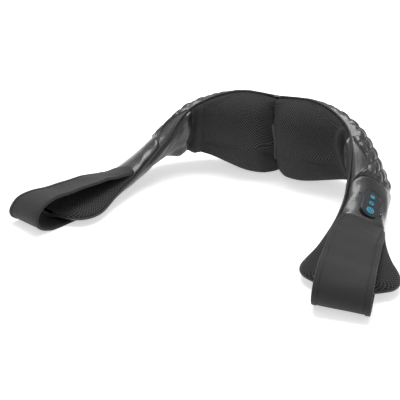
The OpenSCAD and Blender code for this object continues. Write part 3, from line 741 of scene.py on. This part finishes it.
def hand_loop(side):
    ring = strap_ring()
    index = np.arange(len(STRAP_RUN))
    t = np.linspace(0, len(STRAP_RUN) - 1, 190)
    reach, level, tilt = (along([[i, STRAP_RUN[i][c]] for i in index], t) for c in range(3))
    spots = centre(reach, side)
    spots[:, 2] = level
    d = np.gradient(spots, axis=0)
    d /= np.linalg.norm(d, axis=1, keepdims=True)
    _, w, _ = directions(reach, side, tilt)
    n = np.cross(w, d)
    n /= np.linalg.norm(n, axis=1, keepdims=True)
    length = np.concatenate([[0], np.cumsum(np.linalg.norm(np.diff(spots, axis=0), axis=1))])
    sag = -2.2 * bump(t, 4.2, 1.6)[:, None] * (1 - ring[None, :, 0] ** 2)
    wave = 0.5 * np.sin(length[:, None] / 17 + 2.2 * ring[None, :, 0]) + 0.35 * np.sin(length[:, None] / 7.3)
    wave = wave + 0.9 * np.sin(length[:, None] / 4.2 + 1.7 * ring[None, :, 0]) * bump(t, 1.1, 0.9)[:, None]
    wave = wave + 0.6 * np.sin(length[:, None] / 9.0 - 2.6 * ring[None, :, 0]) * bump(t, 6.5, 1.4)[:, None]
    # the loose cloth is sewn down flat on the arm at its start
    free = smooth(t, 0.0, 2.6)[:, None]
    across = ring[None, :, 0] * STRAP_WIDTH / 2 + 0 * t[:, None]
    thick = ring[None, :, 1] + (sag + wave * 0.8) * free
    points = spots[:, None] + across[..., None] * w[:, None] + thick[..., None] * n[:, None]
    on_arm_u = np.clip(across / (along(HALF_HEIGHT, 305) + 1), -0.97, 0.97)
    u = 2 / math.pi * np.arcsin(np.sign(on_arm_u) * np.abs(on_arm_u) ** (1 / ROUND_POWER))
    s_on = np.broadcast_to(reach[:, None], u.shape)
    p, q = section(u, along(HALF_HEIGHT, s_on), along(OUTER_HALF, s_on))
    _, up, out = directions(s_on, side)
    sewn = centre(s_on, side) + p[..., None] * up + (q + 2.0 + ring[None, :, 1])[..., None] * out
    mix = free[..., None]
    points = to_frame(points * mix + sewn * (1 - mix), side)
    rows, columns = points.shape[:2]
    faces = [[i * columns + k, i * columns + (k + 1) % columns, (i + 1) * columns + (k + 1) % columns,
              (i + 1) * columns + k] for i in range(rows - 1) for k in range(columns)]
    faces += [list(range(columns))[::-1], [(rows - 1) * columns + k for k in range(columns)]]
    uvs = np.stack([np.broadcast_to(length[:, None], across.shape), across], -1) * MM
    obj = make_object("hand_loop_cloth_" + SIDE_NAME[side], points.reshape(-1, 3), faces, uvs.reshape(-1, 2))
    dress(obj, "strap_cloth")
    return obj


def fix_normals(obj):
    bm = bmesh.new()
    bm.from_mesh(obj.data)
    bmesh.ops.recalc_face_normals(bm, faces=bm.faces)
    bm.to_mesh(obj.data)
    bm.free()


# ---------------------------------------------------------------- key pad icons
BUTTON_X = {"power": 14, "direction": 0, "heat": -13}


def pad_axes():
    """The pad's centre, and its axes down the arm's slope, across it and outward."""
    at = np.array([float(PAD_AT)])
    forward, up, _ = directions(at, 1)
    origin = belt(at, 1, np.zeros(1), along(OUTER_HALF, at))[0]
    down = forward[0] + [0, 0, float(along(HEIGHT, PAD_AT + 6) - along(HEIGHT, PAD_AT - 6)) / 12]
    down /= np.linalg.norm(down)
    across = up[0] - np.dot(up[0], down) * down
    across /= np.linalg.norm(across)
    return origin, down, across, np.cross(across, down)


def on_pad(x, y, z):
    origin, f, up, out = pad_axes()
    return origin + (x * f + y * up + z * out) * MM


def ring_points(x, y, radius, start, end, z, count=28):
    a = np.radians(np.linspace(start, end, count))
    return np.array([on_pad(x + radius * math.cos(k), y + radius * math.sin(k), z) for k in a])


def icon(name, body, strokes, radius=0.5):
    parts = [tube(f"{name}_{i}", path, radius * MM, 8, closed) for i, (path, closed) in enumerate(strokes)]
    bpy.ops.object.select_all(action="DESELECT")
    for p in parts:
        p.select_set(True)
    bpy.context.view_layer.objects.active = parts[0]
    if len(parts) > 1:
        bpy.ops.object.join()
    obj = parts[0]
    obj.name = name
    dress(obj, "button_teal", "icon_teal")
    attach(obj, body)


def icons():
    z = PAD_RISE + 0.62
    x = BUTTON_X["power"]
    icon("power_icon", "power_key", [
        (ring_points(x, 0, 5.0, 0, 360 * 27 / 28, z), True),
        (ring_points(x, 0, 2.4, -140, 140, z), False),
        (np.array([on_pad(x - 3.2, 0, z), on_pad(x - 1.8, 0, z), on_pad(x - 0.4, 0, z)]), False)], 0.6)
    x = BUTTON_X["direction"]
    icon("direction_icon", "direction_key", [
        (ring_points(x, 0, 2.5, 20, 160, z), False), (ring_points(x, 0, 2.5, 200, 340, z), False),
        (np.array([on_pad(x - 3.4, 1.6, z), on_pad(x - 2.3, 0.7, z), on_pad(x - 1.3, 1.7, z)]), False),
        (np.array([on_pad(x + 3.4, -1.6, z), on_pad(x + 2.3, -0.7, z), on_pad(x + 1.3, -1.7, z)]), False)])
    x = BUTTON_X["heat"]
    wave = [np.array([on_pad(x + a, y + 0.55 * math.sin(a * 2.2), z) for a in np.linspace(-2.4, 2.4, 16)])
            for y in (-1.9, 0, 1.9)]
    icon("heat_icon", "heat_key", [(w, False) for w in wave])


# ---------------------------------------------------------------- putting it together
def hinge_line(side):
    """Where cloth starts and ends bending at an arm's root."""
    ends = belt(np.array([BEND_START, BEND_END]), side, np.zeros(2), np.zeros(2))
    return tuple(ends[0]), tuple(ends[1])


def build_side(side):
    name = SIDE_NAME[side]
    arm = name + "_arm"
    start, end = hinge_line(side)

    def bending(obj):
        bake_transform(obj)

    lobe = mesh_lobe(side)
    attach(lobe, "pod")
    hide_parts("mesh_cover_" + name, "centre_seam")

    cover = quilted_cover(side)
    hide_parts("back_cover", "arm_cover_" + name)
    bending(cover)

    end_panel = gusset(side)
    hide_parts("end_gusset_" + name)
    bending(end_panel)

    lining = inner_lining(side)
    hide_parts("arm_lining_" + name)
    bending(lining)

    panel = smooth_panel(side)
    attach(panel, arm)

    paddle = paddle_face(side)
    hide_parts("paddle_mesh_" + name)
    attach(paddle, arm)

    rim = rim_piping(side)
    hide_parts("pod_piping_" + name, "arm_piping_" + name)
    bending(rim)
    bending(tongue_piping(side))

    loop = hand_loop(side)
    fix_normals(loop)
    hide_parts("hand_loop_" + name)
    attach(loop, arm)


# ---------------------------------------------------------------- camera, light, floor
VIEW_AZIMUTH, VIEW_ELEVATION, VIEW_DISTANCE = 27.5, 25.2, 1.161
VIEW_TARGET = (-0.0979, 0.0862, -0.0388)
FOCAL_PIXELS, FRAME_PIXELS, SENSOR = 686, 400, 36.0


def camera():
    data = bpy.data.cameras.new("view")
    data.sensor_width = SENSOR
    data.lens = SENSOR * FOCAL_PIXELS / FRAME_PIXELS
    obj = bpy.data.objects.new("view", data)
    bpy.context.scene.collection.objects.link(obj)
    a, e = math.radians(VIEW_AZIMUTH), math.radians(VIEW_ELEVATION)
    back = np.array([math.sin(a) * math.cos(e), -math.cos(a) * math.cos(e), math.sin(e)])
    obj.location = np.array(VIEW_TARGET) + back * VIEW_DISTANCE
    obj.rotation_euler = (math.pi / 2 - e, 0, a)
    bpy.context.scene.camera = obj


def area_light(name, location, target, size, power):
    data = bpy.data.lights.new(name, "AREA")
    data.size = size
    data.energy = power
    obj = bpy.data.objects.new(name, data)
    bpy.context.scene.collection.objects.link(obj)
    obj.location = location
    d = np.array(target) - np.array(location)
    d = d / np.linalg.norm(d)
    obj.rotation_euler = (math.acos(-d[2]), 0, math.atan2(d[0], -d[1]))
    return obj


def studio():
    floor = make_object("floor", [(-8, -8, 0), (8, -8, 0), (8, 8, 0), (-8, 8, 0)], [[0, 1, 2, 3]])
    m = Nodes("floor")
    drift = m.noise(m.place(), 0.8, 2)
    m.bsdf.inputs["Emission Color"].default_value = (1, 1, 1, 1)
    m.bsdf.inputs["Emission Strength"].default_value = 0.55
    m.finish(m.mix(drift, (0.86, 0.86, 0.86), (0.88, 0.88, 0.88)), 0.95)
    floor.data.materials.append(m.material)
    world = bpy.data.worlds.new("studio")
    bpy.context.scene.world = world
    world.use_nodes = True
    world.node_tree.nodes["Background"].inputs[0].default_value = (1, 1, 1, 1)
    world.node_tree.nodes["Background"].inputs[1].default_value = 0.5
    aim = (0, 0, 0.05)
    area_light("top", (-0.25, 0.55, 1.9), aim, 1.3, 42)
    area_light("back_right", (1.5, 1.3, 0.7), aim, 0.7, 26)
    area_light("front_left", (-0.9, -1.5, 1.3), aim, 0.6, 9)
    bpy.context.scene.view_settings.view_transform = "Standard"


camera()
studio()
make_looks()
paint_cad()
for each_side in (1, -1):
    build_side(each_side)
top_band()
icons()
